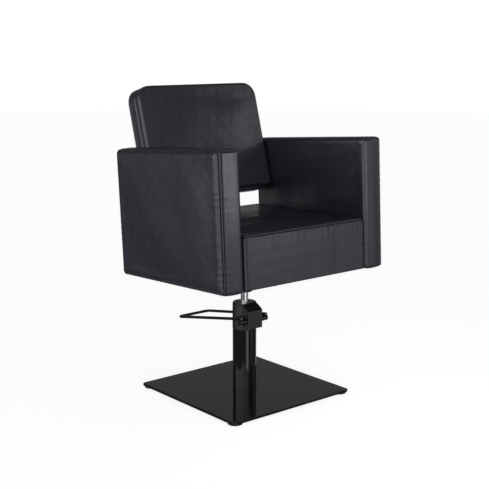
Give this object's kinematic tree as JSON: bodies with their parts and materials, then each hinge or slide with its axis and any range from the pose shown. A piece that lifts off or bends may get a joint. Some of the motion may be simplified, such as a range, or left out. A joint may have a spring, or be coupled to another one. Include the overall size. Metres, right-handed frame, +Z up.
{
  "type": "styling chair",
  "caption": "Box-armed upholstered salon chair on a hydraulic pump column with a bent-rod foot pedal and a square flat base plate; seat lifts and swivels.",
  "frame": {"origin": "on the floor under the pump axis, which is the centre of the base plate", "axes": "+Z up along the pump axis, the sitter faces -Y, +X towards the sitter's left; the seat is stored facing -Y, square to the base plate"},
  "size_m": [0.64, 0.5863, 0.9593],
  "materials": {
    "gloss_black_steel": "gloss",
    "satin_black_steel": "satin",
    "black_casting_cover": "satin",
    "foot_plastic": "matte",
    "zinc_steel": "satin",
    "black_steel": "satin",
    "machined_steel": "satin",
    "pump_iron": "matte",
    "bronze": "satin",
    "seal_rubber": "matte",
    "chrome_rod": "polished",
    "timber": "matte",
    "closing_board": "matte",
    "webbing": "matte",
    "foam": "matte",
    "dust_cloth": "matte",
    "black_upholstery": "satin"
  },
  "bodies": {
    "base": {"base_plate": "gloss_black_steel", "corner_feet": "foot_plastic", "foot_screws": "zinc_steel", "base_bolts": "zinc_steel", "pump_foot": "machined_steel", "column_tube": "gloss_black_steel", "cylinder_barrel": "machined_steel", "pump_casting": "pump_iron", "guide_bush": "bronze", "rod_seal": "seal_rubber", "head_cover": "black_casting_cover", "head_cap": "black_casting_cover", "cap_screws": "black_steel", "plunger_sleeve": "machined_steel"},
    "lift": {"piston_head": "machined_steel", "piston_seal": "seal_rubber"},
    "seat": {"piston_rod": "chrome_rod", "mount_hub": "satin_black_steel", "mount_plate": "satin_black_steel", "mount_bolts": "zinc_steel", "mount_nuts": "zinc_steel", "seat_panel": "timber", "seat_rails": "timber", "seat_webbing": "webbing", "seat_cover": "black_upholstery", "seat_foam": "foam", "dust_cover": "dust_cloth", "arm_core_right": "timber", "arm_core_left": "timber", "arm_cover_right": "black_upholstery", "arm_cover_left": "black_upholstery", "arm_foam_right": "foam", "arm_foam_left": "foam", "arm_closing_right": "closing_board", "arm_closing_left": "closing_board", "arm_bolts": "zinc_steel", "back_pad_cover": "black_upholstery", "back_pad_foam": "foam", "back_shell": "black_upholstery", "back_inner_foam": "foam", "back_board": "timber", "back_bracket_right": "satin_black_steel", "back_bracket_left": "satin_black_steel", "bracket_bolts": "zinc_steel", "back_screws": "zinc_steel"},
    "pedal": {"pedal_shaft": "black_steel", "pump_crank": "machined_steel", "pedal_hub_right": "gloss_black_steel", "pedal_hub_left": "gloss_black_steel", "pedal_loop": "gloss_black_steel", "pedal_grub_screws": "black_steel"},
    "plunger": {"pump_plunger": "machined_steel", "plunger_spring": "machined_steel"}
  },
  "joints": [
    {"name": "lift", "type": "slide", "parent": "base", "child": "lift", "axis": [0, 0, 1], "range_m": [-0.03, 0.1]},
    {"name": "swivel", "type": "hinge", "parent": "lift", "child": "seat", "pos_m": [0, 0, 0.1], "axis": [0, 0, 1], "continuous": true},
    {"name": "pedal", "type": "hinge", "parent": "base", "child": "pedal", "pos_m": [0, -0.042, 0.24], "axis": [1, 0, 0], "range_deg": [-18, 8], "stiffness_Nm_per_rad": 30, "springref_deg": 1.72},
    {"name": "pump_stroke", "type": "slide", "parent": "base", "child": "plunger", "axis": [0, 0, 1], "range_m": [-0.0048, 0.0022], "deforming": ["plunger_spring"]}
  ],
  "couplings": [
    {"joint": "pump_stroke", "follows": "pedal", "m_per_rad": 0.015}
  ]
}
